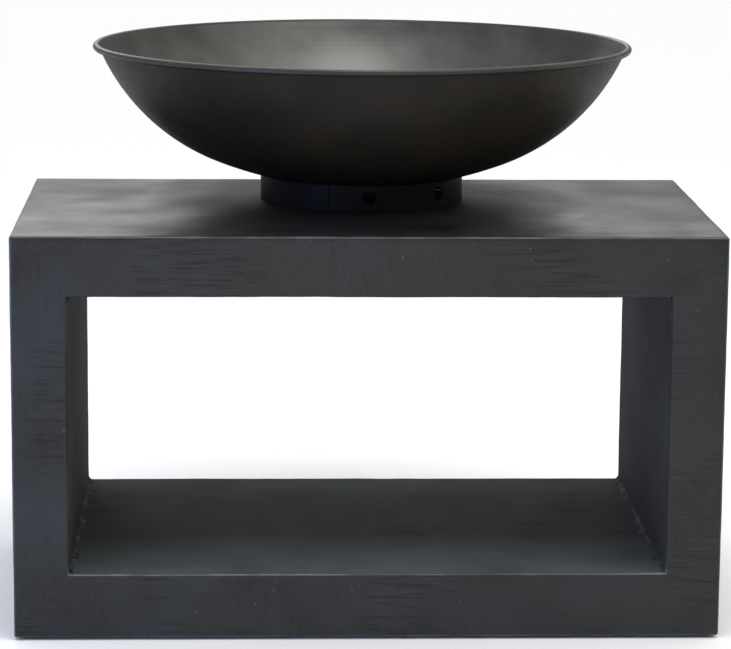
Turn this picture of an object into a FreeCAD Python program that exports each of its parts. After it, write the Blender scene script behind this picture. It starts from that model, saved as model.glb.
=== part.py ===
import FreeCAD, Part
import math
import os

# Fire pit: a spun steel fire bowl on a rolled collar, standing on a hollow
# fibre-cement console with a rectangular opening right through it, and a
# round welded grate low inside the bowl.
#
# Frame, in millimetres: the origin is on the bowl's axis at floor level,
# +X runs along the console, +Z is up and the front faces -Y.

V = FreeCAD.Vector
UP = V(0, 0, 1)

# --- Driving dimensions ----------------------------------------------------

# Console: four box-section mouldings, mitred and bonded into a frame.
console_width = 680.0
console_depth = 395.0
console_height = 391.0
console_centre_y = -56.0        # the bowl stands behind the console's middle
top_thickness = 59.0
side_thickness = 54.0
base_thickness = 64.0
console_wall = 8.0
outer_edge_radius = 3.0
opening_edge_radius = 2.5
mortar_radius = 7.0             # trowelled fillet in each inner corner
mortar_setback = 5.0            # from the console's front and rear faces

# Pads under the console.
pad_diameter = 36.0
pad_thickness = 2.0
pad_inset = 32.0                # pad centre from the console's outer faces

# Collar: a rolled strip with one butt weld and a row of vent holes.
collar_diameter = 205.0
collar_wall = 2.0
seam_angle = -20.4              # from the front, positive towards +X
seam_gap = 1.6
seam_proud_outside = 0.2
seam_proud_inside = 0.6
vent_diameter = 14.0
vent_height = 15.0              # centre above the console
vent_count = 7
first_vent_angle = 2.5
vent_pitch_angle = 44.0
tack_leg = 4.0
tack_span_angle = 12.0
tack_angles = (45.0, 135.0, 225.0, 315.0)

# Bowl: two tangent arcs in section and a wired bead at the rim.
overall_height = 551.5
bowl_diameter = 543.0           # over the bead
bowl_wall = 1.5
bowl_bottom_radius = 410.0
bowl_side_radius = 207.0
rim_wall_angle = 67.7           # steepness of the wall where the bead starts
bead_diameter = 7.0
bead_wrap_angle = 296.0

# Grate: a ring with parallel bars on two rails and four legs.
grate_diameter = 350.0
grate_height = 52.0             # ring centre above the inside of the bowl
grate_rod = 8.0                 # ring, rails and legs
grate_bar = 7.0
grate_bar_count = 11
grate_bar_pitch = 30.0
rail_spacing = 140.0
leg_spacing = 150.0
weld_bite = 0.4                 # how far a rod is let into the one it crosses
leg_clearance = 0.3             # between a leg's foot and the bowl

# --- Sizes that follow -----------------------------------------------------

console_left = -console_width / 2
console_right = console_width / 2
console_front = console_centre_y - console_depth / 2
console_rear = console_centre_y + console_depth / 2
console_bottom_z = pad_thickness
console_top_z = console_bottom_z + console_height

opening_left = console_left + side_thickness
opening_right = console_right - side_thickness
opening_bottom_z = console_bottom_z + base_thickness
opening_top_z = console_top_z - top_thickness

bead_radius = bead_diameter / 2
bead_centre_r = bowl_diameter / 2 - bead_radius
bead_centre_z = overall_height - bead_radius
wire_radius = bead_radius - bowl_wall

collar_outer_r = collar_diameter / 2
collar_inner_r = collar_outer_r - collar_wall


def polar(centre, radius, degrees):
    """Point on a circle in the XZ section plane, counted from straight down."""
    angle = math.radians(degrees)
    return V(centre.x + radius * math.sin(angle), 0, centre.z - radius * math.cos(angle))


# The bowl's outer wall ends where it is tangent to the wire in the bead.
bead_centre = V(bead_centre_r, 0, bead_centre_z)
wall_end = polar(bead_centre, -wire_radius, rim_wall_angle)
side_centre = polar(wall_end, -bowl_side_radius, rim_wall_angle)
radius_step = bowl_bottom_radius - bowl_side_radius
tangent_angle = math.degrees(math.asin(side_centre.x / radius_step))
bottom_centre_z = side_centre.z + radius_step * math.cos(math.radians(tangent_angle))
bottom_centre = V(0, 0, bottom_centre_z)
bowl_inside_z = bottom_centre_z - bowl_bottom_radius + bowl_wall


# --- Small helpers ---------------------------------------------------------

def box_between(low, high):
    """Box with the given lowest and highest corners."""
    size = high.sub(low)
    return Part.makeBox(size.x, size.y, size.z, low)


def prism_y(outline_wire, y_start, y_end):
    """Solid from an outline in the XZ plane, pushed along Y."""
    outline = Part.Face(outline_wire)
    outline.translate(V(0, y_start, 0))
    return outline.extrude(V(0, y_end - y_start, 0))


def turned(profile_edges, degrees=360):
    """Solid of revolution about Z from a closed outline in the XZ plane."""
    outline = Part.Face(Part.Wire(profile_edges))
    return outline.revolve(V(0, 0, 0), UP, degrees)


def arc(centre, radius, start, end):
    """Arc in the section plane, with angles counted from straight down."""
    middle = (start + end) / 2
    points = [polar(centre, radius, a) for a in (start, middle, end)]
    return Part.Arc(*points).toShape()


def rod(start, end, diameter):
    """Round rod from one point to another."""
    run = end.sub(start)
    return Part.makeCylinder(diameter / 2, run.Length, start, run)


def about_axis(shape, degrees):
    """Copy of a shape turned about Z, from the front towards +X."""
    copy = shape.copy()
    copy.rotate(V(0, 0, 0), UP, degrees)
    return copy


def cut_all(shape, tools):
    """Shape with every tool cut away, as one solid."""
    for tool in tools:
        shape = shape.cut(tool)
    return shape.Solids[0]


# --- Console ---------------------------------------------------------------

def console_frame():
    """The whole hollow frame before it is parted at its mitres."""
    outer = box_between(V(console_left, console_front, console_bottom_z),
                        V(console_right, console_rear, console_top_z))
    outer = outer.makeFillet(outer_edge_radius, outer.Edges)
    past = console_wall
    opening = box_between(V(opening_left, console_front - past, opening_bottom_z),
                          V(opening_right, console_rear + past, opening_top_z))
    frame = outer.cut(opening)
    rims = [edge for edge in frame.Edges if on_opening_rim(edge)]
    frame = frame.makeFillet(opening_edge_radius, rims)
    return frame.cut(console_void())


def on_opening_rim(edge):
    """True for the opening's edges in the front and rear faces."""
    box = edge.BoundBox
    slack = 0.01
    flat_on_face = any(abs(box.YMin - y) < slack and abs(box.YMax - y) < slack
                       for y in (console_front, console_rear))
    inside_x = opening_left - slack < box.XMin and box.XMax < opening_right + slack
    inside_z = opening_bottom_z - slack < box.ZMin and box.ZMax < opening_top_z + slack
    return flat_on_face and inside_x and inside_z


def console_void():
    """The hollow that runs round inside the frame."""
    wall = console_wall
    around = box_between(
        V(console_left + wall, console_front + wall, console_bottom_z + wall),
        V(console_right - wall, console_rear - wall, console_top_z - wall))
    core = box_between(
        V(opening_left - wall, console_front, opening_bottom_z - wall),
        V(opening_right + wall, console_rear, opening_top_z + wall))
    return around.cut(core)


def mitre_line(outer_x, outer_z, inner_x, inner_z):
    """Ends of the mitre at one corner, drawn past the frame both ways."""
    reach = 0.2
    outer = V(outer_x, 0, outer_z)
    inner = V(inner_x, 0, inner_z)
    run = inner.sub(outer) * reach
    return outer.sub(run), inner.add(run)


def console_members():
    """The frame parted at its four mitres."""
    top_left = mitre_line(console_left, console_top_z, opening_left, opening_top_z)
    top_right = mitre_line(console_right, console_top_z, opening_right, opening_top_z)
    base_left = mitre_line(console_left, console_bottom_z, opening_left, opening_bottom_z)
    base_right = mitre_line(console_right, console_bottom_z, opening_right, opening_bottom_z)
    ends = {
        "console_top": (top_left, top_right),
        "console_base": (base_left, base_right),
        "console_left_side": (top_left, base_left),
        "console_right_side": (top_right, base_right),
    }
    frame = console_frame()
    members = {}
    for name, (first, second) in ends.items():
        corners = [first[0], second[0], second[1], first[1], first[0]]
        wedge = prism_y(Part.makePolygon(corners), console_front - 1, console_rear + 1)
        members[name] = frame.common(wedge).Solids[0]
    return members


def corner_mortar(corner_x, corner_z, towards_x, towards_z):
    """Concave mortar fillet along one inner corner of the opening."""
    corner = V(corner_x, 0, corner_z)
    along_wall = corner.add(V(towards_x * mortar_radius, 0, 0))
    up_wall = corner.add(V(0, 0, towards_z * mortar_radius))
    hollow = mortar_radius * (1 - math.sqrt(0.5))
    middle = corner.add(V(towards_x * hollow, 0, towards_z * hollow))
    edges = [
        Part.makeLine(corner, along_wall),
        Part.Arc(along_wall, middle, up_wall).toShape(),
        Part.makeLine(up_wall, corner),
    ]
    return prism_y(Part.Wire(edges), console_front + mortar_setback,
                   console_rear - mortar_setback)


def corner_mortars():
    """One fillet in each inner corner."""
    mortars = {}
    for side, x, towards_x in (("left", opening_left, 1), ("right", opening_right, -1)):
        for level, z, towards_z in (("top", opening_top_z, -1), ("base", opening_bottom_z, 1)):
            name = "corner_mortar_" + level + "_" + side
            mortars[name] = corner_mortar(x, z, towards_x, towards_z)
    return mortars


def foot_pads():
    """Thin rubber discs that lift the console off the floor."""
    pads = {}
    for side, x in (("left", console_left + pad_inset), ("right", console_right - pad_inset)):
        for end, y in (("front", console_front + pad_inset), ("rear", console_rear - pad_inset)):
            name = "foot_pad_" + end + "_" + side
            pads[name] = Part.makeCylinder(pad_diameter / 2, pad_thickness, V(x, y, 0))
    return pads


# --- Collar ----------------------------------------------------------------

def under_bowl():
    """Ball whose lowest part is the outside of the bowl's bottom."""
    return Part.makeSphere(bowl_bottom_radius, bottom_centre)


def ring_wall(inner_r, outer_r):
    """Round wall from the console up to the underside of the bowl."""
    reach = side_centre.z - console_top_z
    base = V(0, 0, console_top_z)
    wall = Part.makeCylinder(outer_r, reach, base).cut(Part.makeCylinder(inner_r, reach, base))
    return wall.cut(under_bowl())


def seam_slot():
    """Upright slab through the collar's wall at the seam."""
    slot = box_between(V(-seam_gap / 2, -collar_diameter, console_top_z),
                       V(seam_gap / 2, 0, side_centre.z))
    return about_axis(slot, seam_angle)


def collar_band():
    """Rolled strip, open at its seam, with round vent holes."""
    band = ring_wall(collar_inner_r, collar_outer_r)
    hole_z = console_top_z + vent_height
    hole = rod(V(0, 0, hole_z), V(0, -collar_diameter, hole_z), vent_diameter)
    angles = [first_vent_angle + index * vent_pitch_angle for index in range(vent_count)]
    holes = [about_axis(hole, angle) for angle in angles]
    return cut_all(band, [seam_slot()] + holes)


def collar_seam_weld():
    """Weld metal that fills the seam and stands a little proud."""
    bead = ring_wall(collar_inner_r - seam_proud_inside, collar_outer_r + seam_proud_outside)
    return bead.common(seam_slot()).Solids[0]


def collar_tack_welds():
    """Short fillet welds inside the collar, under the bowl."""
    joint = math.sqrt(bowl_bottom_radius ** 2 - collar_inner_r ** 2)
    joint_z = bottom_centre_z - joint
    foot = V(collar_inner_r, 0, joint_z - tack_leg)
    corner = V(collar_inner_r, 0, joint_z + 1)
    tip = V(collar_inner_r - tack_leg - 1, 0, joint_z + 1)
    edges = Part.makePolygon([foot, corner, tip, foot]).Edges
    tack = turned(edges, tack_span_angle).cut(under_bowl())
    return Part.makeCompound([about_axis(tack, angle) for angle in tack_angles])


# --- Bowl ------------------------------------------------------------------

def fire_bowl():
    """Spun shell whose edge is rolled outward round a wire."""
    bead_start = rim_wall_angle - 180
    bead_end = bead_start - bead_wrap_angle
    inner_bottom = bowl_bottom_radius - bowl_wall
    inner_side = bowl_side_radius - bowl_wall
    edge_inner = polar(bead_centre, wire_radius, bead_end)
    edge_outer = polar(bead_centre, bead_radius, bead_end)
    edges = [
        arc(bottom_centre, bowl_bottom_radius, 0, tangent_angle),
        arc(side_centre, bowl_side_radius, tangent_angle, rim_wall_angle),
        arc(bead_centre, wire_radius, bead_start, bead_end),
        Part.makeLine(edge_inner, edge_outer),
        arc(bead_centre, bead_radius, bead_end, bead_start),
        arc(side_centre, inner_side, rim_wall_angle, tangent_angle),
        arc(bottom_centre, inner_bottom, tangent_angle, 0),
        Part.makeLine(V(0, 0, bowl_inside_z), V(0, 0, bowl_inside_z - bowl_wall)),
    ]
    return turned(edges)


def rim_wire():
    """Round wire that the rim is rolled over."""
    return Part.makeTorus(bead_centre_r, wire_radius, V(0, 0, bead_centre_z), UP)


# --- Grate -----------------------------------------------------------------

grate_z = bowl_inside_z + grate_height
grate_ring_r = (grate_diameter - grate_rod) / 2
rail_z = grate_z - (grate_bar + grate_rod) / 2 + weld_bite


def half_chord(offset):
    """Half the ring's inside width at a distance from its centre."""
    return math.sqrt(grate_ring_r ** 2 - offset ** 2)


def grate_rails(ring):
    """Two rods across, let into the underside of the ring."""
    rails = {}
    for name, y in (("grate_rail_front", -rail_spacing / 2), ("grate_rail_rear", rail_spacing / 2)):
        reach = half_chord(y)
        rail = rod(V(-reach, y, rail_z), V(reach, y, rail_z), grate_rod)
        rails[name] = cut_all(rail, [ring])
    return rails


def grate_bars(ring, rails):
    """Parallel rods from front to rear, on the rails and inside the ring."""
    bars = {}
    for index in range(grate_bar_count):
        x = (index - (grate_bar_count - 1) / 2) * grate_bar_pitch
        reach = half_chord(x)
        bar = rod(V(x, -reach, grate_z), V(x, reach, grate_z), grate_bar)
        bars["grate_bar_%02d" % (index + 1)] = cut_all(bar, [ring] + rails)
    return bars


def grate_legs(rails):
    """Short legs under the rails with rounded feet just clear of the bowl."""
    legs = {}
    foot_radius = grate_rod / 2
    reach = bowl_bottom_radius - bowl_wall - leg_clearance - foot_radius
    for side, x in (("left", -leg_spacing / 2), ("right", leg_spacing / 2)):
        for end, y in (("front", -rail_spacing / 2), ("rear", rail_spacing / 2)):
            foot_z = bottom_centre_z - math.sqrt(reach ** 2 - x ** 2 - y ** 2)
            foot = V(x, y, foot_z)
            leg = rod(foot, V(x, y, rail_z), grate_rod).fuse(Part.makeSphere(foot_radius, foot))
            legs["grate_leg_" + end + "_" + side] = cut_all(leg.removeSplitter(), rails)
    return legs


def grate():
    """Every rod of the grate."""
    ring = Part.makeTorus(grate_ring_r, grate_rod / 2, V(0, 0, grate_z), UP)
    rails = grate_rails(ring)
    rods = {"grate_ring": ring}
    rods.update(rails)
    rods.update(grate_bars(ring, list(rails.values())))
    rods.update(grate_legs(list(rails.values())))
    return rods


# --- Write one file per piece ----------------------------------------------

def all_pieces():
    """Every piece of the fire pit by name."""
    pieces = {}
    pieces.update(console_members())
    pieces.update(corner_mortars())
    pieces.update(foot_pads())
    pieces["collar_band"] = collar_band()
    pieces["collar_seam_weld"] = collar_seam_weld()
    pieces["collar_tack_welds"] = collar_tack_welds()
    pieces["fire_bowl"] = fire_bowl()
    pieces["rim_wire"] = rim_wire()
    pieces.update(grate())
    return pieces


def main():
    os.makedirs("parts", exist_ok=True)
    for name, shape in all_pieces().items():
        shape.exportStep("parts/" + name + ".step")
        solids = len(shape.Solids)
        print(name, "valid", shape.isValid(), "solids", solids, "cm3", round(shape.Volume / 1000, 1))


main()
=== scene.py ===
import math

import bmesh
import bpy
from mathutils import Matrix, Vector


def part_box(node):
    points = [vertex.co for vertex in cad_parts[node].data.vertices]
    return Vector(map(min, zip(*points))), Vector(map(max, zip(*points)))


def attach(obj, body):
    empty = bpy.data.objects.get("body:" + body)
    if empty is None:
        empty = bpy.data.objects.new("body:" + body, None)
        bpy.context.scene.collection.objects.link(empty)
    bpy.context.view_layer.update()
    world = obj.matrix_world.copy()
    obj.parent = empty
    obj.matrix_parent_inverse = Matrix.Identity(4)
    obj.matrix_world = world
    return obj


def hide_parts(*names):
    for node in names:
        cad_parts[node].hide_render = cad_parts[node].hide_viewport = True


# Looks of the fire pit: a hand-finished fibre-cement console, a spun steel fire
# bowl on a rolled collar, and a welded grate low inside the bowl.

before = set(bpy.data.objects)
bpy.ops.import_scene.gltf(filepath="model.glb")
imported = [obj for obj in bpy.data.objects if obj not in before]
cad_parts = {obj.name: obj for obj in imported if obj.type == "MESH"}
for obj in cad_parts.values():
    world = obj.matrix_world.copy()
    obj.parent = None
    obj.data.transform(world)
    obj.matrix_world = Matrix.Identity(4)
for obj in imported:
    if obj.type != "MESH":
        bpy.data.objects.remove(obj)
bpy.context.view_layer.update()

MM = 0.001
SNAP = 0.05 * MM                  # places nearer than this count as the same

# --- Sizes ------------------------------------------------------------------

CONSOLE_NODES = ("console_top", "console_base", "console_left_side", "console_right_side")
EDGE_RADIUS = 3.0 * MM            # console's outer edges
OPENING_RADIUS = 2.5 * MM         # edges of its opening
CELL = 28.0 * MM                  # coarse grid of the console, before it is divided again
WEAR_REACH = 3.0 * MM             # how far the paler edge, rubbed wear and a painted highlight, shows from an edge
RIM_RUBBED = 0.35                 # share of that paler edge on the opening's sides and head
OUTSIDE_RUBBED = 0.85             # and on the outer edges
FLOOR_LIGHT_FRONT = 150.0 * MM           # paler strip behind the sill: painted light where light reaches the front of the opening's floor
FLOOR_LIGHT_REAR = 90.0 * MM
FLOOR_LIGHT_REAR_SHARE = 0.45            # how much of that painted light there is at the rear

MORTAR_WIDTH = 7.0 * MM
MORTAR_BEDDED = 2.0 * MM          # how deep the mortar is let into the walls

BOWL_WALL = 1.5 * MM
BOWL_BOTTOM_RADIUS = 410.0 * MM
BOWL_SIDE_RADIUS = 207.0 * MM
RIM_WALL_ANGLE = 67.7             # steepness of the wall where the bead starts
BEAD_RADIUS = 3.5 * MM
BEAD_WRAP = 296.0
BOWL_STEPS = 192

SEAM_ANGLE = -20.4                # from the front, positive towards +X
TACK_ANGLES = (45.0, 135.0, 225.0, 315.0)
TACK_SPAN = 12.0
COLLAR_WALL = 2.0 * MM

# How dull the console's top is: unsealed under the collar, then less so under the bowl,
# fading out over the stretch given, and a little towards the rear edge.
COLLAR_REACH = 95.0 * MM
BOWL_SHELTER = (145.0 * MM, 255.0 * MM)
SHELTER_SHARE = 0.5
REAR_SHARE = 0.2
UNSEALED_ROUGHNESS = 0.92
TROWEL_DARKNESS = 0.70

GRATE_ROD = 4.0 * MM              # radius of ring, rails and legs
GRATE_BAR = 3.5 * MM              # radius of the bars
GRATE_BARS = 11

# Brightness of the room: level at the horizon, what the ceiling adds, and the band behind.
ROOM_LEVEL = 0.14
ROOM_OVERHEAD = 1.60
ROOM_BEHIND = 8.0
ROOM_LEFT = 0.82                  # the ceiling's share on the left
ROOM_RIGHT = 1.05
BAND_WAY = (-0.139, 0.990, 0.0)   # the band's middle, a little left of straight behind
BAND_EDGE = (0.86, 0.99)          # cosines from that middle where it starts and is full
BAND_RISE = (0.16, 0.36)          # heights where it starts and is full


def box_of(names):
    """Lowest and highest corner over several CAD nodes."""
    corners = [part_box(name) for name in names]
    low = Vector([min(pair[0][i] for pair in corners) for i in range(3)])
    high = Vector([max(pair[1][i] for pair in corners) for i in range(3)])
    return low, high


console_low, console_high = box_of(CONSOLE_NODES)
opening_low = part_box("corner_mortar_base_left")[0]
opening_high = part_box("corner_mortar_top_right")[1]


# --- Working on one piece ---------------------------------------------------

def work_on(piece):
    """Deselects everything, then selects one object and makes it active."""
    if bpy.context.mode != "OBJECT":
        bpy.ops.object.mode_set(mode="OBJECT")
    bpy.ops.object.select_all(action="DESELECT")
    piece.select_set(True)
    bpy.context.view_layer.objects.active = piece


def started(name):
    """Names the primitive that was just added and puts its place in its mesh."""
    piece = bpy.context.object
    piece.name = name
    piece.data.name = name
    work_on(piece)
    bpy.ops.object.transform_apply(location=True, rotation=True, scale=True)
    return piece


def edit(piece):
    """Opens a piece in edit mode with nothing selected."""
    work_on(piece)
    bpy.ops.object.mode_set(mode="EDIT")
    bpy.ops.mesh.select_all(action="DESELECT")


def pick(kind, test):
    """Selects the VERT, EDGE or FACE parts of the open piece that pass a test."""
    bpy.ops.mesh.select_mode(type=kind)
    bpy.ops.mesh.select_all(action="DESELECT")
    piece = bpy.context.edit_object
    shape = bmesh.from_edit_mesh(piece.data)
    parts = {"VERT": shape.verts, "EDGE": shape.edges, "FACE": shape.faces}[kind]
    for part in parts:
        if test(part):
            part.select_set(True)
    shape.select_flush_mode()
    bmesh.update_edit_mesh(piece.data)


def close_edit():
    """Back to object mode."""
    bpy.ops.object.mode_set(mode="OBJECT")


def with_modifier(piece, kind, **settings):
    """Adds a modifier with its settings and applies it."""
    work_on(piece)
    modifier = piece.modifiers.new(kind.title(), kind)
    for name, value in settings.items():
        setattr(modifier, name, value)
    bpy.ops.object.modifier_apply(modifier=modifier.name)


def divided(piece, levels):
    """Divides every face evenly, without rounding."""
    with_modifier(piece, "SUBSURF", subdivision_type="SIMPLE", levels=levels, render_levels=levels)


def uneven(piece, across, depth):
    """Presses the surface in by up to depth, in hollows about as wide as across."""
    texture = bpy.data.textures.new("hollows", "CLOUDS")
    texture.noise_scale = across
    texture.noise_depth = 1
    with_modifier(piece, "DISPLACE", texture=texture, texture_coords="LOCAL",
                  strength=depth, mid_level=1.0)


def outward(piece):
    """Merges doubles and turns every face outwards."""
    edit(piece)
    bpy.ops.mesh.select_all(action="SELECT")
    bpy.ops.mesh.remove_doubles(threshold=0.01 * MM)
    bpy.ops.mesh.normals_make_consistent(inside=False)
    close_edit()


def smooth(piece, degrees=35.0):
    """Smooth shading that keeps real corners sharp."""
    work_on(piece)
    bpy.ops.object.shade_smooth_by_angle(angle=math.radians(degrees))


def copy_of(piece, name):
    """A copy with its own mesh."""
    twin = piece.copy()
    twin.data = piece.data.copy()
    twin.name = name
    twin.data.name = name
    bpy.context.scene.collection.objects.link(twin)
    return twin


def placed(piece, offset=(0, 0, 0), turn=0.0, scale=(1, 1, 1)):
    """Scales a piece, turns it about Z and moves it, all in its mesh."""
    work_on(piece)
    piece.scale = scale
    piece.rotation_euler = (0, 0, turn)
    piece.location = offset
    bpy.ops.object.transform_apply(location=True, rotation=True, scale=True)
    return piece


def joined(pieces, name):
    """Several pieces as one."""
    work_on(pieces[0])
    for piece in pieces:
        piece.select_set(True)
    bpy.ops.object.join()
    whole = bpy.context.object
    whole.name = name
    whole.data.name = name
    return whole


def fitted(piece, body, material, nodes):
    """Gives a finished piece its material and its body, and hides the CAD nodes it stands for."""
    piece.data.materials.clear()
    for each in material if isinstance(material, (list, tuple)) else [material]:
        piece.data.materials.append(each)
    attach(piece, body)
    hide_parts(*nodes)


def finish_node(name, material):
    """A CAD node that stays, in its own finish."""
    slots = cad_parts[name].data.materials
    slots.clear()
    slots.append(material)


# --- Materials --------------------------------------------------------------

def tone(code):
    """An sRGB hex colour as linear RGBA."""
    parts = [int(code[i:i + 2], 16) / 255 for i in (1, 3, 5)]
    return [p / 12.92 if p <= 0.04045 else ((p + 0.055) / 1.055) ** 2.4 for p in parts] + [1.0]


def add(tree, kind, inputs=None, **settings):
    """Adds a node with its settings, and values or links for its inputs."""
    node = tree.nodes.new(kind)
    for name, value in settings.items():
        setattr(node, name, value)
    for socket, value in (inputs or {}).items():
        if isinstance(value, bpy.types.NodeSocket):
            tree.links.new(value, node.inputs[socket])
        else:
            node.inputs[socket].default_value = value
    return node


def new_material(name, **constants):
    """A material with its shader, its constant values and the piece's own coordinates."""
    material = bpy.data.materials.new(name)
    material.use_nodes = True
    tree = material.node_tree
    shader = tree.nodes["Principled BSDF"]
    for socket, value in constants.items():
        shader.inputs[socket.replace("_", " ")].default_value = value
    place = add(tree, "ShaderNodeTexCoord").outputs["Object"]
    return material, tree, shader, place


# Named sockets of the colour Mix node, which has one set of sockets per kind of data.
MIX_FACTOR, MIX_A, MIX_B, MIX_COLOUR = 0, 6, 7, 2


def fibre_cement():
    """Dyed fibre cement, moulded, rubbed down by hand and sealed: a satin charcoal
    skin with soft clouding, faint trowel lines, pinholes darkened with painted shade, paler edges that are
    partly rubbed wear and partly a painted highlight, and painted light on the opening's floor."""
    material, tree, shader, place = new_material("fibre_cement_sealed", IOR=1.5,
                                                 Specular_IOR_Level=0.28)
    clouds = add(tree, "ShaderNodeTexNoise", {"Vector": place, "Scale": 1 / 0.080, "Detail": 5.0,
                                              "Roughness": 0.55})
    grain = add(tree, "ShaderNodeTexNoise", {"Vector": place, "Scale": 1 / 0.0035, "Detail": 4.0,
                                             "Roughness": 0.65})
    # Trowel lines: streaks about 38 mm long and 2 mm apart, level here and upright below.
    drawn_out = add(tree, "ShaderNodeMapping", {"Vector": place,
                                                "Scale": (1 / 0.038, 1 / 0.038, 1 / 0.0018)})
    trowel = add(tree, "ShaderNodeTexNoise", {"Vector": drawn_out.outputs[0], "Scale": 1.0, "Detail": 4.0,
                                              "Roughness": 0.6, "Distortion": 0.3})
    patches = add(tree, "ShaderNodeTexNoise", {"Vector": place, "Scale": 1 / 0.14, "Detail": 1.0})
    where_trowelled = add(tree, "ShaderNodeMapRange", {"Value": patches.outputs["Fac"], "From Min": 0.47,
                                                       "From Max": 0.60})
    trowel_lines = add(tree, "ShaderNodeMapRange", {"Value": trowel.outputs["Fac"], "From Min": 0.50,
                                                    "From Max": 0.64})
    lines = add(tree, "ShaderNodeMath", {0: trowel_lines.outputs[0], 1: where_trowelled.outputs[0]},
                operation="MULTIPLY")
    drawn_up = add(tree, "ShaderNodeMapping", {"Vector": place, "Location": (3.0, 0, 0),
                                               "Scale": (1 / 0.0018, 1 / 0.0018, 1 / 0.030)})
    upright = add(tree, "ShaderNodeTexNoise", {"Vector": drawn_up.outputs[0], "Scale": 1.0,
                                               "Detail": 3.0, "Roughness": 0.6})
    upright_lines = add(tree, "ShaderNodeMapRange", {"Value": upright.outputs["Fac"], "From Min": 0.56,
                                                     "From Max": 0.72})
    where_upright = add(tree, "ShaderNodeMapRange", {"Value": patches.outputs["Fac"], "From Min": 0.46,
                                                     "From Max": 0.36, "To Max": 0.6})
    brushed = add(tree, "ShaderNodeMath", {0: upright_lines.outputs[0], 1: where_upright.outputs[0]},
                  operation="MULTIPLY")
    lines = add(tree, "ShaderNodeMath", {0: lines.outputs[0], 1: brushed.outputs[0]}, operation="MAXIMUM")
    cloud_share = add(tree, "ShaderNodeMapRange", {"Value": clouds.outputs["Fac"], "From Min": 0.3,
                                                   "From Max": 0.7})
    body = add(tree, "ShaderNodeMix", {MIX_FACTOR: cloud_share.outputs[0], MIX_A: tone("#17191a"),
                                       MIX_B: tone("#2a2d2e")}, data_type="RGBA")
    grain_share = add(tree, "ShaderNodeMapRange", {"Value": grain.outputs["Fac"], "From Min": 0.35,
                                                   "From Max": 0.75, "To Max": 0.35})
    grained = add(tree, "ShaderNodeMix", {MIX_FACTOR: grain_share.outputs[0],
                                          MIX_A: body.outputs[MIX_COLOUR], MIX_B: tone("#37393a")},
                  data_type="RGBA")
    line_share = add(tree, "ShaderNodeMath", {0: lines.outputs[0], 1: TROWEL_DARKNESS}, operation="MULTIPLY")
    lined = add(tree, "ShaderNodeMix", {MIX_FACTOR: line_share.outputs[0],
                                        MIX_A: grained.outputs[MIX_COLOUR], MIX_B: tone("#0d0c0b")},
                data_type="RGBA")
    # Paler edges: partly rubbed wear, partly a painted highlight along the rounded edges; full on the sill's
    # edge, weaker on the opening's sides and head.
    rubbed = add(tree, "ShaderNodeAttribute", attribute_name="edge_wear_and_highlight")
    patchy = add(tree, "ShaderNodeTexNoise", {"Vector": place, "Scale": 1 / 0.030, "Detail": 3.0})
    patchy_share = add(tree, "ShaderNodeMapRange", {"Value": patchy.outputs["Fac"], "From Min": 0.35,
                                                    "From Max": 0.60, "To Min": 0.35})
    rubbed_and_highlight_share = add(tree, "ShaderNodeMapRange", {"Value": rubbed.outputs["Fac"], "From Min": 0.15,
                                                    "From Max": 0.48})
    wear = add(tree, "ShaderNodeMath", {0: rubbed_and_highlight_share.outputs[0], 1: patchy_share.outputs[0]},
               operation="MULTIPLY")
    worn_and_highlit = add(tree, "ShaderNodeMix", {MIX_FACTOR: wear.outputs[0], MIX_A: lined.outputs[MIX_COLOUR],
                                       MIX_B: tone("#74777a")}, data_type="RGBA")
    # Painted light: a paler, cooler strip on the front and rear of the opening's floor stands in for the
    # light that reaches there past the top.
    floor_light_attribute = add(tree, "ShaderNodeAttribute", attribute_name="dust_and_painted_light")
    floor_light_patchy = add(tree, "ShaderNodeMapRange", {"Value": clouds.outputs["Fac"], "From Min": 0.25,
                                                  "From Max": 0.60, "To Min": 0.45})
    floor_light_share = add(tree, "ShaderNodeMath", {0: floor_light_attribute.outputs["Fac"], 1: floor_light_patchy.outputs[0]},
                    operation="MULTIPLY")
    with_floor_light = add(tree, "ShaderNodeMix", {MIX_FACTOR: floor_light_share.outputs[0],
                                        MIX_A: worn_and_highlit.outputs[MIX_COLOUR], MIX_B: tone("#454b4d")},
                data_type="RGBA")
    # Pinholes about 1 mm across, left where air was trapped against the mould; their dark colour is painted
    # shade inside the pits.
    cells = add(tree, "ShaderNodeTexVoronoi", {"Vector": place, "Scale": 1 / 0.016})
    pick_few = add(tree, "ShaderNodeSeparateColor", {0: cells.outputs["Color"]})
    few = add(tree, "ShaderNodeMath", {0: pick_few.outputs[0], 1: 0.86}, operation="GREATER_THAN")
    hole = add(tree, "ShaderNodeMapRange", {"Value": cells.outputs["Distance"], "From Min": 0.03,
                                            "From Max": 0.055, "To Min": 1.0, "To Max": 0.0})
    pinholes = add(tree, "ShaderNodeMath", {0: few.outputs[0], 1: hole.outputs[0]}, operation="MULTIPLY")
    pitted = add(tree, "ShaderNodeMix", {MIX_FACTOR: pinholes.outputs[0],
                                         MIX_A: with_floor_light.outputs[MIX_COLOUR], MIX_B: tone("#0c0d0e")},
                 data_type="RGBA")
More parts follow.
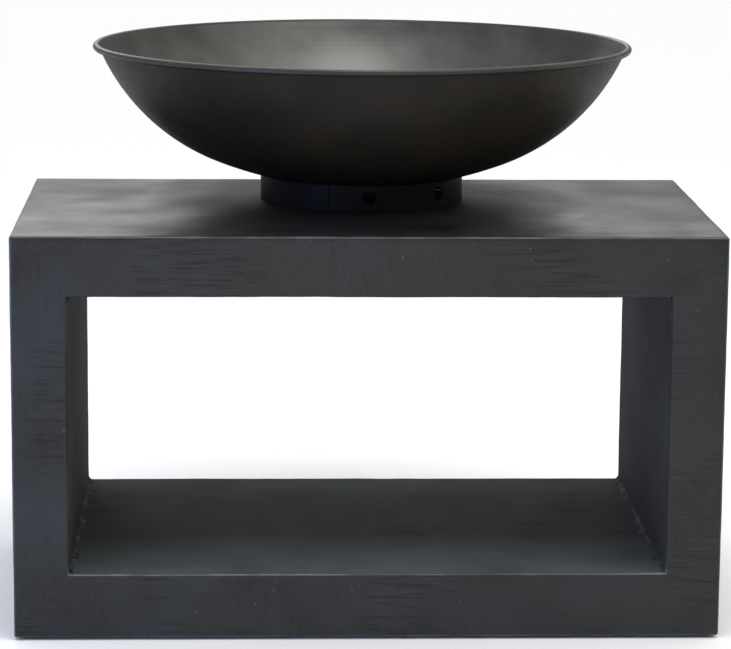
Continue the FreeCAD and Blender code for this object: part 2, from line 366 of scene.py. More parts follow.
    # Pale specks of splashed cement, under 1 mm across.
    splashed = add(tree, "ShaderNodeTexVoronoi", {"Vector": place, "Scale": 1 / 0.014})
    splash_few = add(tree, "ShaderNodeSeparateColor", {0: splashed.outputs["Color"]})
    few_specks = add(tree, "ShaderNodeMath", {0: splash_few.outputs[1], 1: 0.93},
                     operation="GREATER_THAN")
    spot = add(tree, "ShaderNodeMapRange", {"Value": splashed.outputs["Distance"], "From Min": 0.02,
                                            "From Max": 0.05, "To Min": 0.8, "To Max": 0.0})
    specks = add(tree, "ShaderNodeMath", {0: few_specks.outputs[0], 1: spot.outputs[0]},
                 operation="MULTIPLY")
    skin = add(tree, "ShaderNodeMix", {MIX_FACTOR: specks.outputs[0],
                                       MIX_A: pitted.outputs[MIX_COLOUR], MIX_B: tone("#7d8183")},
               data_type="RGBA")
    sheen = add(tree, "ShaderNodeMapRange", {"Value": clouds.outputs["Fac"], "From Min": 0.3,
                                             "From Max": 0.7, "To Min": 0.30, "To Max": 0.50})
    swept = add(tree, "ShaderNodeTexNoise", {"Vector": place, "Scale": 1 / 0.028, "Detail": 2.0})
    relief = add(tree, "ShaderNodeBump", {"Height": swept.outputs["Fac"], "Strength": 0.5,
                                          "Distance": 0.5 * MM})
    relief = add(tree, "ShaderNodeBump", {"Height": grain.outputs["Fac"], "Strength": 0.35,
                                          "Distance": 0.12 * MM, "Normal": relief.outputs[0]})
    relief = add(tree, "ShaderNodeBump", {"Height": lines.outputs[0], "Strength": 0.5,
                                          "Distance": 0.10 * MM, "Normal": relief.outputs[0]})
    relief = add(tree, "ShaderNodeBump", {"Height": pinholes.outputs[0], "Strength": 1.0,
                                          "Distance": 0.5 * MM, "Normal": relief.outputs[0]}, invert=True)
    tree.links.new(skin.outputs[MIX_COLOUR], shader.inputs["Base Color"])
    # Unsealed cement is dull: the opening's faces, and the top where the bowl covers it.
    unsealed = add(tree, "ShaderNodeAttribute", attribute_name="unsealed")
    dull = add(tree, "ShaderNodeMix", {0: unsealed.outputs["Fac"], 2: sheen.outputs[0],
                                        3: UNSEALED_ROUGHNESS})
    tree.links.new(dull.outputs[0], shader.inputs["Roughness"])
    tree.links.new(relief.outputs[0], shader.inputs["Normal"])
    return material


def trowelled_mortar():
    """Cement mortar pressed into the corners with a finger or trowel: the same dye,
    chalkier and rougher, with lumps of 2 to 3 mm and pale smears."""
    material, tree, shader, place = new_material("corner_mortar_trowelled", Roughness=0.85, IOR=1.5,
                                                 Specular_IOR_Level=0.2)
    lumps = add(tree, "ShaderNodeTexNoise", {"Vector": place, "Scale": 1 / 0.0030, "Detail": 4.0,
                                             "Roughness": 0.6})
    smears = add(tree, "ShaderNodeTexNoise", {"Vector": place, "Scale": 1 / 0.018, "Detail": 3.0})
    smear_share = add(tree, "ShaderNodeMapRange", {"Value": smears.outputs["Fac"], "From Min": 0.50,
                                                   "From Max": 0.66})
    body = add(tree, "ShaderNodeMix", {MIX_FACTOR: smear_share.outputs[0], MIX_A: tone("#232524"),
                                       MIX_B: tone("#505250")}, data_type="RGBA")
    relief = add(tree, "ShaderNodeBump", {"Height": lumps.outputs["Fac"], "Strength": 0.8,
                                          "Distance": 0.6 * MM})
    tree.links.new(body.outputs[MIX_COLOUR], shader.inputs["Base Color"])
    tree.links.new(relief.outputs[0], shader.inputs["Normal"])
    return material


def stove_enamel(name, dark, light, rough_low, rough_high, gloss_level):
    """Heat-resistant stove paint sprayed on steel: a thin warm black, satin where it
    lies smooth and duller in clouds, with an orange-peel skin about 1.5 mm across."""
    material, tree, shader, place = new_material(name, IOR=1.5, Specular_IOR_Level=gloss_level)
    drift = add(tree, "ShaderNodeTexNoise", {"Vector": place, "Scale": 1 / 0.070, "Detail": 5.0,
                                             "Roughness": 0.6})
    peel = add(tree, "ShaderNodeTexNoise", {"Vector": place, "Scale": 1 / 0.0015, "Detail": 2.0})
    dust_and_painted_light = add(tree, "ShaderNodeTexNoise", {"Vector": place, "Scale": 1 / 0.006, "Detail": 4.0,
                                            "Roughness": 0.7})
    drift_share = add(tree, "ShaderNodeMapRange", {"Value": drift.outputs["Fac"], "From Min": 0.35,
                                                   "From Max": 0.7})
    body = add(tree, "ShaderNodeMix", {MIX_FACTOR: drift_share.outputs[0], MIX_A: tone(dark),
                                       MIX_B: tone(light)}, data_type="RGBA")
    gloss = add(tree, "ShaderNodeMapRange", {"Value": dust_and_painted_light.outputs["Fac"], "From Min": 0.3,
                                             "From Max": 0.7, "To Min": rough_low, "To Max": rough_high})
    wave = add(tree, "ShaderNodeTexNoise", {"Vector": place, "Scale": 1 / 0.045, "Detail": 1.0})
    relief = add(tree, "ShaderNodeBump", {"Height": wave.outputs["Fac"], "Strength": 0.35,
                                          "Distance": 0.5 * MM})
    relief = add(tree, "ShaderNodeBump", {"Height": peel.outputs["Fac"], "Strength": 0.25,
                                          "Distance": 0.05 * MM, "Normal": relief.outputs[0]})
    tree.links.new(body.outputs[MIX_COLOUR], shader.inputs["Base Color"])
    tree.links.new(gloss.outputs[0], shader.inputs["Roughness"])
    tree.links.new(relief.outputs[0], shader.inputs["Normal"])
    return material


def spun_steel():
    """Spun mild steel for the bowl's inside, a grey metal lighter than the outside's paint: painted light
    for the brighter light the inside catches. It has faint turning rings about 3 mm apart, drawn wider than
    real so that they show."""
    material, tree, shader, place = new_material("mild_steel_spun_painted_light", Metallic=1.0)
    rings = add(tree, "ShaderNodeTexWave", {"Vector": place, "Scale": 2 * math.pi / (20 * 0.003),
                                            "Distortion": 1.5, "Detail": 2.0},
                wave_type="RINGS", rings_direction="Z")
    drift = add(tree, "ShaderNodeTexNoise", {"Vector": place, "Scale": 1 / 0.060, "Detail": 5.0,
                                             "Roughness": 0.6})
    drift_share = add(tree, "ShaderNodeMapRange", {"Value": drift.outputs["Fac"], "From Min": 0.3,
                                                   "From Max": 0.7})
    body = add(tree, "ShaderNodeMix", {MIX_FACTOR: drift_share.outputs[0], MIX_A: tone("#494847"),
                                       MIX_B: tone("#5f5e5c")}, data_type="RGBA")
    gloss = add(tree, "ShaderNodeMapRange", {"Value": drift.outputs["Fac"], "From Min": 0.3,
                                             "From Max": 0.7, "To Min": 0.34, "To Max": 0.46})
    relief = add(tree, "ShaderNodeBump", {"Height": rings.outputs["Fac"], "Strength": 0.3,
                                          "Distance": 0.05 * MM})
    tree.links.new(body.outputs[MIX_COLOUR], shader.inputs["Base Color"])
    tree.links.new(gloss.outputs[0], shader.inputs["Roughness"])
    tree.links.new(relief.outputs[0], shader.inputs["Normal"])
    return material


def hot_rolled_steel(name, dark, light, rust, grain_size):
    """Hot-rolled mild steel with its mill scale on: blue-grey and dull, with fine
    scale and a little brown where the scale has lifted."""
    material, tree, shader, place = new_material(name, Metallic=0.75)
    scale = add(tree, "ShaderNodeTexNoise", {"Vector": place, "Scale": 1 / grain_size, "Detail": 5.0,
                                             "Roughness": 0.7})
    lifted = add(tree, "ShaderNodeTexNoise", {"Vector": place, "Scale": 1 / 0.022, "Detail": 4.0})
    scale_share = add(tree, "ShaderNodeMapRange", {"Value": scale.outputs["Fac"], "From Min": 0.35,
                                                   "From Max": 0.65})
    lifted_share = add(tree, "ShaderNodeMapRange", {"Value": lifted.outputs["Fac"], "From Min": 0.56,
                                                    "From Max": 0.74, "To Max": 0.55})
    body = add(tree, "ShaderNodeMix", {MIX_FACTOR: scale_share.outputs[0], MIX_A: tone(dark),
                                       MIX_B: tone(light)}, data_type="RGBA")
    aged = add(tree, "ShaderNodeMix", {MIX_FACTOR: lifted_share.outputs[0],
                                       MIX_A: body.outputs[MIX_COLOUR], MIX_B: tone(rust)},
               data_type="RGBA")
    gloss = add(tree, "ShaderNodeMapRange", {"Value": scale.outputs["Fac"], "From Min": 0.35,
                                             "From Max": 0.65, "To Min": 0.42, "To Max": 0.62})
    relief = add(tree, "ShaderNodeBump", {"Height": scale.outputs["Fac"], "Strength": 0.5,
                                          "Distance": 0.15 * MM})
    tree.links.new(aged.outputs[MIX_COLOUR], shader.inputs["Base Color"])
    tree.links.new(gloss.outputs[0], shader.inputs["Roughness"])
    tree.links.new(relief.outputs[0], shader.inputs["Normal"])
    return material


def moulded_rubber():
    """Black moulded rubber: matt, faintly mottled, with a fine sanded skin."""
    material, tree, shader, place = new_material("pad_rubber_moulded", IOR=1.52)
    skin = add(tree, "ShaderNodeTexNoise", {"Vector": place, "Scale": 1 / 0.0012, "Detail": 3.0})
    body = add(tree, "ShaderNodeMix", {MIX_FACTOR: skin.outputs["Fac"], MIX_A: tone("#121213"),
                                       MIX_B: tone("#202021")}, data_type="RGBA")
    dull = add(tree, "ShaderNodeMapRange", {"Value": skin.outputs["Fac"], "To Min": 0.7, "To Max": 0.9})
    relief = add(tree, "ShaderNodeBump", {"Height": skin.outputs["Fac"], "Strength": 0.4,
                                          "Distance": 0.1 * MM})
    tree.links.new(body.outputs[MIX_COLOUR], shader.inputs["Base Color"])
    tree.links.new(dull.outputs[0], shader.inputs["Roughness"])
    tree.links.new(relief.outputs[0], shader.inputs["Normal"])
    return material


cement = fibre_cement()
mortar = trowelled_mortar()
outside_paint = stove_enamel("bowl_stove_paint", "#17140f", "#221d15", 0.47, 0.60, 0.18)
# The upper half of the bead gets a lighter grey paint: a painted highlight along the rim, also smoother and
# glossier.
bead_paint_painted_highlight = stove_enamel("bead_stove_paint_painted_highlight", "#252423", "#333230", 0.34, 0.44, 0.35)
# The collar takes the bowl's paint in a darker tone: painted shade under the bowl's overhang.
collar_paint_painted_shade = stove_enamel("collar_stove_paint_painted_shade", "#121211", "#1b1b1a", 0.45, 0.60, 0.12)
# The bowl's inside gets a lighter grey steel than its painted outside: painted light.
inside_steel_painted_light = spun_steel()
weld_steel = hot_rolled_steel("weld_bead_scaled", "#24211e", "#3a3531", "#3c2f26", 1.2 * MM)
wire_steel = hot_rolled_steel("rim_wire_drawn", "#2a2928", "#3b3a39", "#3c2f26", 1.5 * MM)
grate_steel = hot_rolled_steel("grate_rod_mill_scale", "#2b2b2d", "#47474a", "#44342a", 2.0 * MM)
rubber = moulded_rubber()


# --- Console ----------------------------------------------------------------

def cut_across(axis, places):
    """Cuts the open piece square across one axis at each place."""
    for place in places:
        point = [0.0, 0.0, 0.0]
        normal = [0.0, 0.0, 0.0]
        point[axis] = place
        normal[axis] = 1.0
        bpy.ops.mesh.select_all(action="SELECT")
        bpy.ops.mesh.bisect(plane_co=point, plane_no=normal)


def between(start, end):
    """Even places strictly between two ends, about one cell apart."""
    count = max(2, round((end - start) / CELL))
    return [start + (end - start) * i / count for i in range(1, count)]


def near(a, b):
    """True for two numbers that are the same place."""
    return abs(a - b) < SNAP


def on_outer_edge(edge):
    """True for an edge that lies along an outer edge of the console."""
    faces = 0
    for axis in range(3):
        for side in (console_low[axis], console_high[axis]):
            faces += all(near(v.co[axis], side) for v in edge.verts)
    return faces >= 2


def on_opening_rim(edge):
    """True for an edge along the opening's rim in the front or rear face."""
    flat = any(all(near(v.co.y, side) for v in edge.verts) for side in (console_low.y, console_high.y))
    upright = any(all(near(v.co.x, side) for v in edge.verts) for side in (opening_low.x, opening_high.x))
    level = any(all(near(v.co.z, side) for v in edge.verts) for side in (opening_low.z, opening_high.z))
    middle = (edge.verts[0].co + edge.verts[1].co) / 2
    inside = (opening_low.x - SNAP < middle.x < opening_high.x + SNAP
              and opening_low.z - SNAP < middle.z < opening_high.z + SNAP)
    return flat and inside and (upright or level)


def in_opening(face):
    """True for a face of the front or rear that the opening takes away."""
    middle = face.calc_center_median()
    flat = near(middle.y, console_low.y) or near(middle.y, console_high.y)
    return (flat and opening_low.x < middle.x < opening_high.x
            and opening_low.z < middle.z < opening_high.z)


def console_skin():
    """The whole frame in one: a block with its opening, rounded edges and hand-finished faces."""
    size = console_high - console_low
    bpy.ops.mesh.primitive_cube_add(size=1, location=(console_low + console_high) / 2, scale=size)
    skin = started("console_skin")
    edit(skin)
    cut_across(0, [opening_low.x, opening_high.x])
    cut_across(2, [opening_low.z, opening_high.z])
    pick("FACE", in_opening)
    bpy.ops.mesh.delete(type="FACE")
    pick("EDGE", lambda edge: edge.is_boundary)
    bpy.ops.mesh.bridge_edge_loops()
    for axis in (0, 2):
        stops = (console_low[axis], opening_low[axis], opening_high[axis], console_high[axis])
        for start, end in zip(stops, stops[1:]):
            cut_across(axis, between(start, end))
    cut_across(1, between(console_low.y, console_high.y))
    close_edit()
    divided(skin, 2)
    edit(skin)
    pick("EDGE", on_outer_edge)
    bpy.ops.mesh.bevel(offset=EDGE_RADIUS, segments=3, profile=0.5, affect="EDGES")
    pick("EDGE", on_opening_rim)
    bpy.ops.mesh.bevel(offset=OPENING_RADIUS, segments=3, profile=0.5, affect="EDGES")
    close_edit()
    outward(skin)
    uneven(skin, 110 * MM, 0.7 * MM)
    uneven(skin, 26 * MM, 0.45 * MM)
    return skin


def keep_side(point, normal, fill):
    """Cuts the open piece at a plane and keeps the side the normal points to."""
    bpy.ops.mesh.select_all(action="SELECT")
    bpy.ops.mesh.bisect(plane_co=point, plane_no=normal, clear_inner=True, use_fill=fill,
                        threshold=0.001 * MM)


def edge_nearness(point):
    """1 on an edge of the console, falling to 0 a little way off it."""
    depths = sorted(min(point[i] - console_low[i], console_high[i] - point[i]) for i in range(3))
    outer = math.hypot(max(depths[0], 0), max(depths[1], 0))
    across = max(opening_low.x - point.x, point.x - opening_high.x)
    above = max(opening_low.z - point.z, point.z - opening_high.z)
    rim = math.hypot(max(across, 0), max(above, 0)) if max(across, above) > 0 else abs(max(across, above))
    face = min(abs(point.y - console_low.y), abs(point.y - console_high.y))
    inner = math.hypot(rim, face)
    # The sill's edge gets the full paler edge, partly a painted highlight; the opening's sides and head get
    # less.
    on_sill = point.z < opening_low.z + MM
    rim_share = 1.0 if on_sill else RIM_RUBBED
    outer_share = max(0.0, 1.0 - outer / WEAR_REACH) * OUTSIDE_RUBBED
    return max(outer_share, max(0.0, 1.0 - inner / WEAR_REACH) * rim_share)


def left_dull(point):
    """1 inside the opening and under the collar, less on the rest of the top, and 0 on
    the other outer faces."""
    if point.z > opening_high.z + MM:
        reach = math.hypot(point.x, point.y)
        near_end, far_end = BOWL_SHELTER
        shelter = max(0.0, min(1.0, (far_end - reach) / (far_end - near_end)))
        rear = (point.y - console_low.y) / (console_high.y - console_low.y)
        return 1.0 if reach < COLLAR_REACH else max(SHELTER_SHARE * shelter, REAR_SHARE * rear)
    front = min(point.y - console_low.y, console_high.y - point.y) < OPENING_RADIUS * 0.6
    slack = 1.5 * MM
    within = (opening_low.x - slack < point.x < opening_high.x + slack
              and opening_low.z - slack < point.z < opening_high.z + slack)
    return 1.0 if within and not front else 0.0


def painted_floor_light(point):
    """How much painted light lies on the floor of the opening: most at the front, some at the rear, with the
    middle left darker as painted shade.
    """
    if not (left_dull(point) and point.z < opening_low.z + MM):
        return 0.0
    from_front = (point.y - console_low.y) / FLOOR_LIGHT_FRONT
    from_rear = (console_high.y - point.y) / FLOOR_LIGHT_REAR
    front = max(0.0, min(1.0, 2.2 - 2.2 * from_front))
    return max(front, FLOOR_LIGHT_REAR_SHARE * max(0.0, min(1.0, 1.5 - 1.5 * from_rear)))


def mark_edges(piece):
    """Stores how near each point is to an edge, where it was left unsealed and where painted light lies on
    the opening's floor.
    """
    for name, measure in (("edge_wear_and_highlight", edge_nearness), ("unsealed", left_dull), ("dust_and_painted_light", painted_floor_light)):
        attribute = piece.data.attributes.new(name, "FLOAT", "POINT")
        attribute.data.foreach_set("value", [measure(v.co) for v in piece.data.vertices])


def console_members():
    """Parts the frame at its four mitres into the members it is bonded from."""
    skin = console_skin()
    centre = (console_low + console_high) / 2
    corners = {}
    for high_x in (False, True):
        for high_z in (False, True):
            outer = Vector((console_high.x if high_x else console_low.x, 0,
                            console_high.z if high_z else console_low.z))
            inner = Vector((opening_high.x if high_x else opening_low.x, 0,
                            opening_high.z if high_z else opening_low.z))
            along = inner - outer
            # This normal points up or down, into the top or the base.
            normal = Vector((-along.z, 0, along.x))
            if (normal.z > 0) != high_z:
                normal = -normal
            corners[high_x, high_z] = (outer, normal)
    plans = {
        "console_top": (Vector((0, 0, 1)), (False, True), (True, True), 1),
        "console_base": (Vector((0, 0, -1)), (False, False), (True, False), 1),
        "console_left_side": (Vector((-1, 0, 0)), (False, False), (False, True), -1),
        "console_right_side": (Vector((1, 0, 0)), (True, False), (True, True), -1),
    }
    for name, (half, first, second, sign) in plans.items():
        member = copy_of(skin, name + "_finished")
        edit(member)
        keep_side(centre, half, fill=False)
        for corner in (first, second):
            point, normal = corners[corner]
            keep_side(point, normal * sign, fill=True)
        close_edit()
        outward(member)
        mark_edges(member)
        smooth(member)
        fitted(member, "console", cement, [name])
    bpy.data.objects.remove(skin)


def mortar_strips():
    """A pressed-in strip of mortar along each inner corner of the opening."""
    low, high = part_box("corner_mortar_base_left")
    bedded = low - Vector((MORTAR_BEDDED, 0, MORTAR_BEDDED))
    size = high - bedded
    for side in ("left", "right"):
        for level in ("base", "top"):
            name = "corner_mortar_" + level + "_" + side
            bpy.ops.mesh.primitive_cube_add(size=1, location=(bedded + high) / 2, scale=size)
            strip = started(name + "_pressed")
            edit(strip)
            pick("EDGE", lambda edge: all(near(v.co.x, high.x) and near(v.co.z, high.z) for v in edge.verts))
            # A profile below a quarter is hollow, and this one is close to a round cove.
            bpy.ops.mesh.bevel(offset=MORTAR_WIDTH - 0.3 * MM, segments=7, profile=0.09, affect="EDGES")
            pick("EDGE", lambda edge: abs(edge.verts[0].co.y - edge.verts[1].co.y) > size.y / 2)
            bpy.ops.mesh.subdivide(number_cuts=90)
            close_edit()
            if side == "right":
                placed(strip, scale=(-1, 1, 1))
            if level == "top":
                placed(strip, scale=(1, 1, -1), offset=(0, 0, opening_low.z + opening_high.z))
            outward(strip)
            uneven(strip, 45 * MM, 3.0 * MM)
            uneven(strip, 9 * MM, 1.0 * MM)
            smooth(strip, 50)
            fitted(strip, "console", mortar, [name])


# --- Bowl -------------------------------------------------------------------

def on_arc(centre, radius, start, end, steps):
    """Points along an arc in the XZ plane, with angles counted from straight down."""
    points = []
    for i in range(steps + 1):
        angle = math.radians(start + (end - start) * i / steps)
        points.append(centre + Vector((radius * math.sin(angle), 0, -radius * math.cos(angle))))
    return points


def drawn_line(points, name):
    """A line drawn by extruding one point from place to place."""
    bpy.ops.mesh.primitive_plane_add(size=1)
    line = started(name)
    edit(line)
    bpy.ops.mesh.select_mode(type="VERT")
    bpy.ops.mesh.select_all(action="SELECT")
    bpy.ops.mesh.merge(type="CENTER")
    bpy.ops.transform.translate(value=points[0])
    for here, there in zip(points, points[1:]):
        bpy.ops.mesh.extrude_region_move(TRANSFORM_OT_translate={"value": there - here})
    return line


def bowl_section():
    """Outline of the spun shell: outer wall, the bead rolled over its wire, inner wall."""
    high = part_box("fire_bowl")[1]
    wire = BEAD_RADIUS - BOWL_WALL
    bead = Vector((high.x - BEAD_RADIUS, 0, high.z - BEAD_RADIUS))
    wall_end = on_arc(bead, wire, RIM_WALL_ANGLE - 180, RIM_WALL_ANGLE - 180, 1)[0]
    lean = math.radians(RIM_WALL_ANGLE)
    side = wall_end - Vector((math.sin(lean), 0, -math.cos(lean))) * BOWL_SIDE_RADIUS
    step = BOWL_BOTTOM_RADIUS - BOWL_SIDE_RADIUS
    tangent = math.degrees(math.asin(side.x / step))
    bottom = Vector((0, 0, side.z + step * math.cos(math.radians(tangent))))
    start = RIM_WALL_ANGLE - 180
    end = start - BEAD_WRAP
    points = on_arc(bottom, BOWL_BOTTOM_RADIUS, 0, tangent, 14)
    points += on_arc(side, BOWL_SIDE_RADIUS, tangent, RIM_WALL_ANGLE, 22)[1:]
    points += on_arc(bead, wire, start, end, 16)[1:]
    points += on_arc(bead, BEAD_RADIUS, end, start, 22)
    points += on_arc(side, BOWL_SIDE_RADIUS - BOWL_WALL, RIM_WALL_ANGLE, tangent, 22)[1:]
    points += on_arc(bottom, BOWL_BOTTOM_RADIUS - BOWL_WALL, tangent, 0, 14)[1:]
    return points


def spun_bowl():
    """The bowl's shell, spun from its section."""
    bowl = drawn_line(bowl_section(), "fire_bowl_spun")
    bpy.ops.mesh.select_all(action="SELECT")
    bpy.ops.mesh.spin(steps=BOWL_STEPS, angle=2 * math.pi, center=(0, 0, 0), axis=(0, 0, 1))
    close_edit()
    outward(bowl)
    uneven(bowl, 130 * MM, 0.35 * MM)
    smooth(bowl, 40)
    fitted(bowl, "bowl", [outside_paint, inside_steel_painted_light, bead_paint_painted_highlight], ["fire_bowl"])
    bead_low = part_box("fire_bowl")[1].z - 2 * BEAD_RADIUS
    for face in bowl.data.polygons:
        looks_in = face.normal.dot(Vector((-face.center.x, -face.center.y, 0.05))) > 0
        if looks_in and face.center.z < bead_low + BEAD_RADIUS:
            face.material_index = 1    # inside_steel_painted_light: lighter than the outside paint, painted light
        # The upper part of the bead takes the lighter paint, a painted highlight along the rim.
        elif face.center.z > bead_low + BEAD_RADIUS * 0.8:
            face.material_index = 2    # bead_paint_painted_highlight: lighter paint as a painted highlight


# --- Welds ------------------------------------------------------------------

def ripple(name, width, proud, length):
    """One drop of weld metal: a flattened ball, fuller at one end."""
    bpy.ops.mesh.primitive_uv_sphere_add(segments=12, ring_count=8, radius=1)
    drop = started(name)
    edit(drop)
    pick("VERT", lambda vert: vert.co.z > 0.3)
    bpy.ops.transform.resize(value=(1.12, 1.12, 0.8), center_override=(0, 0, 0.3))
    close_edit()
    return placed(drop, scale=(width / 2, proud, length / 2))


def seam_bead():
    """Weld down the collar's butt seam, laid in overlapping drops."""
    low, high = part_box("collar_seam_weld")
    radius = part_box("collar_band")[1].x - COLLAR_WALL / 2 - 0.2 * MM
    pitch = 1.15 * MM
    angle = math.radians(SEAM_ANGLE)
    model = ripple("seam_drop", 2.0 * MM, 1.45 * MM, 2.2 * MM)
    model = placed(model, offset=(0, -radius, 0))
    drops = []
    height = low.z + 1.0 * MM
    while height < high.z - 1.0 * MM:
        drops.append(placed(copy_of(model, "seam_drop_copy"), offset=(0, 0, height), turn=angle))
        height += pitch
    bpy.data.objects.remove(model)
    bead = joined(drops, "collar_seam_bead")
    uneven(bead, 3 * MM, 0.12 * MM)
    smooth(bead, 60)
    fitted(bead, "bowl", weld_steel, ["collar_seam_weld"])


def tack_beads():
    """Four short welds inside the collar, right under the bowl."""
    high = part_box("collar_tack_welds")[1]
    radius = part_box("collar_band")[1].x - COLLAR_WALL - 1.2 * MM
    model = placed(ripple("tack_drop", 2.6 * MM, 2.4 * MM, 5.0 * MM), offset=(0, -radius, 0))
    model = placed(model, offset=(0, 0, high.z - 2.6 * MM))
    drops = []
    for start in TACK_ANGLES:
        for index in range(9):
            turn = math.radians(start + 90.0 + TACK_SPAN * index / 8)
            drops.append(placed(copy_of(model, "tack_drop_copy"), turn=turn))
    bpy.data.objects.remove(model)
    beads = joined(drops, "collar_tack_beads")
    uneven(beads, 3 * MM, 0.2 * MM)
    smooth(beads, 60)
    fitted(beads, "bowl", weld_steel, ["collar_tack_welds"])


# --- Grate ------------------------------------------------------------------

def scaled_rod(name, radius, length):
    """A rod along Y with eased ends, cut into short lengths so that it can be uneven."""
    bpy.ops.mesh.primitive_cylinder_add(vertices=18, radius=radius, depth=length,
                                        rotation=(math.pi / 2, 0, 0))
    rod = started(name)
    edit(rod)
    pick("EDGE", lambda edge: all(near(abs(v.co.y), length / 2) for v in edge.verts))
    bpy.ops.mesh.bevel(offset=0.6 * MM, segments=2, profile=0.5, affect="EDGES")
    pick("EDGE", lambda edge: abs(edge.verts[0].co.y - edge.verts[1].co.y) > length / 2)
    bpy.ops.mesh.subdivide(number_cuts=max(4, round(length / (9 * MM))))
    close_edit()
    return rod


def finish_rod(rod, node):
    """The uneven skin, shading and body of a grate rod."""
    uneven(rod, 16 * MM, 0.35 * MM)
    smooth(rod, 50)
    fitted(rod, "grate", grate_steel, [node])


def grate_bars():
    """Parallel bars, modelled once at full length and copied to each chord."""
    names = ["grate_bar_%02d" % number for number in range(1, GRATE_BARS + 1)]
    longest = max(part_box(name)[1].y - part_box(name)[0].y for name in names)
    model = scaled_rod("bar_model", GRATE_BAR, longest)
    for name in names:
        low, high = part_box(name)
        share = (high.y - low.y + 1.0 * MM) / longest
        bar = copy_of(model, name + "_rod")
        placed(bar, offset=((low.x + high.x) / 2, 0, high.z - GRATE_BAR), scale=(1, share, 1))
        finish_rod(bar, name)
    bpy.data.objects.remove(model)


def grate_rails():
    """Two rails across, under the bars."""
    low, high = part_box("grate_rail_front")
    model = scaled_rod("rail_model", GRATE_ROD, high.x - low.x)
    placed(model, turn=math.pi / 2)
    for name in ("grate_rail_front", "grate_rail_rear"):
        low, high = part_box(name)
        rail = copy_of(model, name + "_rod")
        placed(rail, offset=((low.x + high.x) / 2, (low.y + high.y) / 2, low.z + GRATE_ROD))
        finish_rod(rail, name)
    bpy.data.objects.remove(model)


def grate_legs():
    """Four short legs with rounded feet."""
    names = ["grate_leg_%s_%s" % (end, side) for end in ("front", "rear") for side in ("left", "right")]
    low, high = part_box(names[0])
    length = high.z - low.z + 1.0 * MM
    bpy.ops.mesh.primitive_cylinder_add(vertices=20, radius=GRATE_ROD, depth=length)
    model = started("leg_model")
    edit(model)
    pick("EDGE", lambda edge: all(near(v.co.z, -length / 2) for v in edge.verts))
    bpy.ops.mesh.bevel(offset=GRATE_ROD - 0.2 * MM, segments=6, profile=0.5, affect="EDGES")
    pick("EDGE", lambda edge: abs(edge.verts[0].co.z - edge.verts[1].co.z) > length / 2)
    bpy.ops.mesh.subdivide(number_cuts=4)
    close_edit()
    for name in names:
        low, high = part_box(name)
        leg = copy_of(model, name + "_rod")
        placed(leg, offset=((low.x + high.x) / 2, (low.y + high.y) / 2, low.z + length / 2))
        finish_rod(leg, name)
    bpy.data.objects.remove(model)


def grate_ring():
    """The ring, with a drop of weld over and under each rod that meets it."""
    low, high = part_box("grate_ring")
    centre_z = (low.z + high.z) / 2
    radius = high.x - GRATE_ROD
    bpy.ops.mesh.primitive_torus_add(major_radius=radius, minor_radius=GRATE_ROD, major_segments=120,
                                     minor_segments=16, location=(0, 0, centre_z))
    ring = started("grate_ring_rod")
    uneven(ring, 18 * MM, 0.3 * MM)
    model = ripple("weld_model", 8.5 * MM, 4.2 * MM, 4.0 * MM)
    drops = []
    for index in range(GRATE_BARS):
        low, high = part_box("grate_bar_%02d" % (index + 1))
        x = (low.x + high.x) / 2
        y = math.sqrt(radius ** 2 - x ** 2)
        for sign in (-1, 1):
            for rise in (-2.6 * MM, 2.6 * MM):
                drop = copy_of(model, "weld_drop")
                inward = Vector((x, sign * y, 0)).normalized() * 3.5 * MM
                placed(drop, turn=math.atan2(-x * sign, y) * 0.3)
                placed(drop, offset=(x - inward.x * 0.3, sign * y - inward.y, centre_z + rise))
                drops.append(drop)
    bpy.data.objects.remove(model)
    whole = joined([ring] + drops, "grate_ring_welded")
    uneven(whole, 5 * MM, 0.25 * MM)
    smooth(whole, 60)
    fitted(whole, "grate", grate_steel, ["grate_ring"])


# --- Build ------------------------------------------------------------------

console_members()
mortar_strips()
spun_bowl()
seam_bead()
tack_beads()
grate_bars()
grate_rails()
grate_legs()
grate_ring()

finish_node("collar_band", collar_paint_painted_shade)
finish_node("rim_wire", wire_steel)
for end in ("front", "rear"):
    for side in ("left", "right"):
        finish_node("foot_pad_" + end + "_" + side, rubber)


# --- Floor, light and camera ------------------------------------------------

def studio_floor():
    """A plain pale floor."""
    bpy.ops.mesh.primitive_plane_add(size=60)
    floor = started("studio_floor")
    material = bpy.data.materials.new("studio_floor_matt_white")
    material.use_nodes = True
    shader = material.node_tree.nodes["Principled BSDF"]
    shader.inputs["Base Color"].default_value = tone("#f7f7f7")
    shader.inputs["Roughness"].default_value = 0.9
    shader.inputs["Specular IOR Level"].default_value = 0.1
    floor.data.materials.append(material)


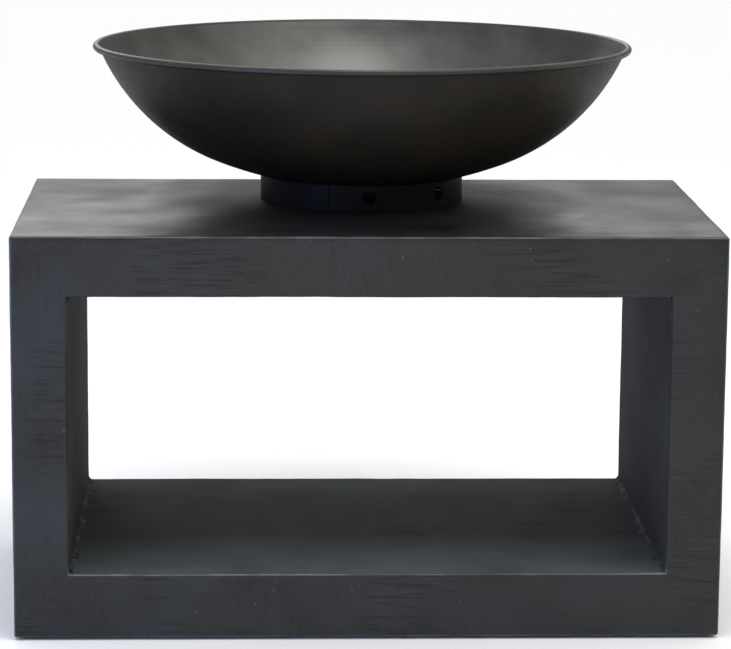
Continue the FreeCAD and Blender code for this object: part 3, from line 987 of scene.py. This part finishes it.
def studio_world():
    """Soft white room: brightest overhead and in a band behind, cooler towards the left."""
    world = bpy.data.worlds.new("studio_white")
    world.use_nodes = True
    tree = world.node_tree
    way = add(tree, "ShaderNodeTexCoord").outputs["Generated"]
    axes = add(tree, "ShaderNodeSeparateXYZ", {0: way}).outputs
    sideways = add(tree, "ShaderNodeMapRange", {"Value": axes[0], "From Min": -0.8, "From Max": 0.8,
                                                "To Min": ROOM_LEFT, "To Max": ROOM_RIGHT})
    ceiling = add(tree, "ShaderNodeMapRange", {"Value": axes[2], "To Min": ROOM_LEVEL,
                                               "To Max": ROOM_LEVEL + ROOM_OVERHEAD})
    overhead = add(tree, "ShaderNodeMath", {0: ceiling.outputs[0], 1: sideways.outputs[0]},
                   operation="MULTIPLY")
    along = add(tree, "ShaderNodeVectorMath", {0: way, 1: BAND_WAY}, operation="DOT_PRODUCT")
    behind = add(tree, "ShaderNodeMapRange", {"Value": along.outputs["Value"], "From Min": BAND_EDGE[0],
                                              "From Max": BAND_EDGE[1], "To Max": ROOM_BEHIND},
                 interpolation_type="SMOOTHSTEP")
    above = add(tree, "ShaderNodeMapRange", {"Value": axes[2], "From Min": BAND_RISE[0],
                                             "From Max": BAND_RISE[1]},
                interpolation_type="SMOOTHSTEP")
    band = add(tree, "ShaderNodeMath", {0: behind.outputs[0], 1: above.outputs[0]}, operation="MULTIPLY")
    level = add(tree, "ShaderNodeMath", {0: overhead.outputs[0], 1: band.outputs[0]}, operation="ADD")
    across = add(tree, "ShaderNodeMapRange", {"Value": axes[0], "From Min": -0.8, "From Max": 0.8})
    tint = add(tree, "ShaderNodeMix", {MIX_FACTOR: across.outputs[0], MIX_A: tone("#eff1f7"),
                                       MIX_B: tone("#f4f3ee")}, data_type="RGBA")
    light = tree.nodes["Background"]
    tree.links.new(tint.outputs[MIX_COLOUR], light.inputs["Color"])
    tree.links.new(level.outputs[0], light.inputs["Strength"])
    bpy.context.scene.world = world


def softbox(name, place, aim, size, strength, colour):
    """A large soft light aimed at a point."""
    data = bpy.data.lights.new(name, "AREA")
    data.shape = "RECTANGLE"
    data.size, data.size_y = size
    data.energy = strength
    data.color = tone(colour)[:3]
    light = bpy.data.objects.new(name, data)
    light.location = place
    light.rotation_euler = (Vector(aim) - Vector(place)).to_track_quat("-Z", "Y").to_euler()
    light.visible_camera = False
    bpy.context.scene.collection.objects.link(light)


def studio_camera():
    """A long lens, a little above the rim and nearly square to the front."""
    data = bpy.data.cameras.new("studio_camera")
    data.sensor_width = 36.0
    data.lens = 153.07
    data.clip_start = 0.1
    data.clip_end = 200.0
    camera = bpy.data.objects.new("studio_camera", data)
    yaw, pitch, roll = (math.radians(v) for v in (2.240, 10.614, 0.443))
    forward = Vector((math.sin(yaw) * math.cos(pitch), math.cos(yaw) * math.cos(pitch), -math.sin(pitch)))
    level_right = Vector((math.cos(yaw), -math.sin(yaw), 0))
    level_up = level_right.cross(forward)
    right = level_right * math.cos(roll) + level_up * math.sin(roll)
    up = level_up * math.cos(roll) - level_right * math.sin(roll)
    camera.matrix_world = Matrix((
        (right.x, up.x, -forward.x, -0.1173),
        (right.y, up.y, -forward.y, -3.1368),
        (right.z, up.z, -forward.z, 0.8496),
        (0, 0, 0, 1),
    ))
    bpy.context.scene.collection.objects.link(camera)
    bpy.context.scene.camera = camera


studio_floor()
studio_world()
softbox("overhead_softbox", (0.12, -0.5, 2.4), (0, 0, 0.45), (0.7, 0.7), 13.0, "#fffdfa")
softbox("right_softbox", (1.3, -1.2, 2.0), (0, 0, 0.45), (0.8, 0.8), 4.0, "#fffdf6")
softbox("cool_softbox_low", (-1.15, -1.15, 0.30), (-0.4, -0.2, 0.22), (0.8, 0.8), 8.5, "#7fa6ff")
softbox("warm_softbox_low", (0.0, -1.7, 0.15), (0, -0.2, 0.46), (0.4, 0.3), 0.9, "#ffe0b4")
studio_camera()
bpy.context.scene.view_settings.view_transform = "Standard"
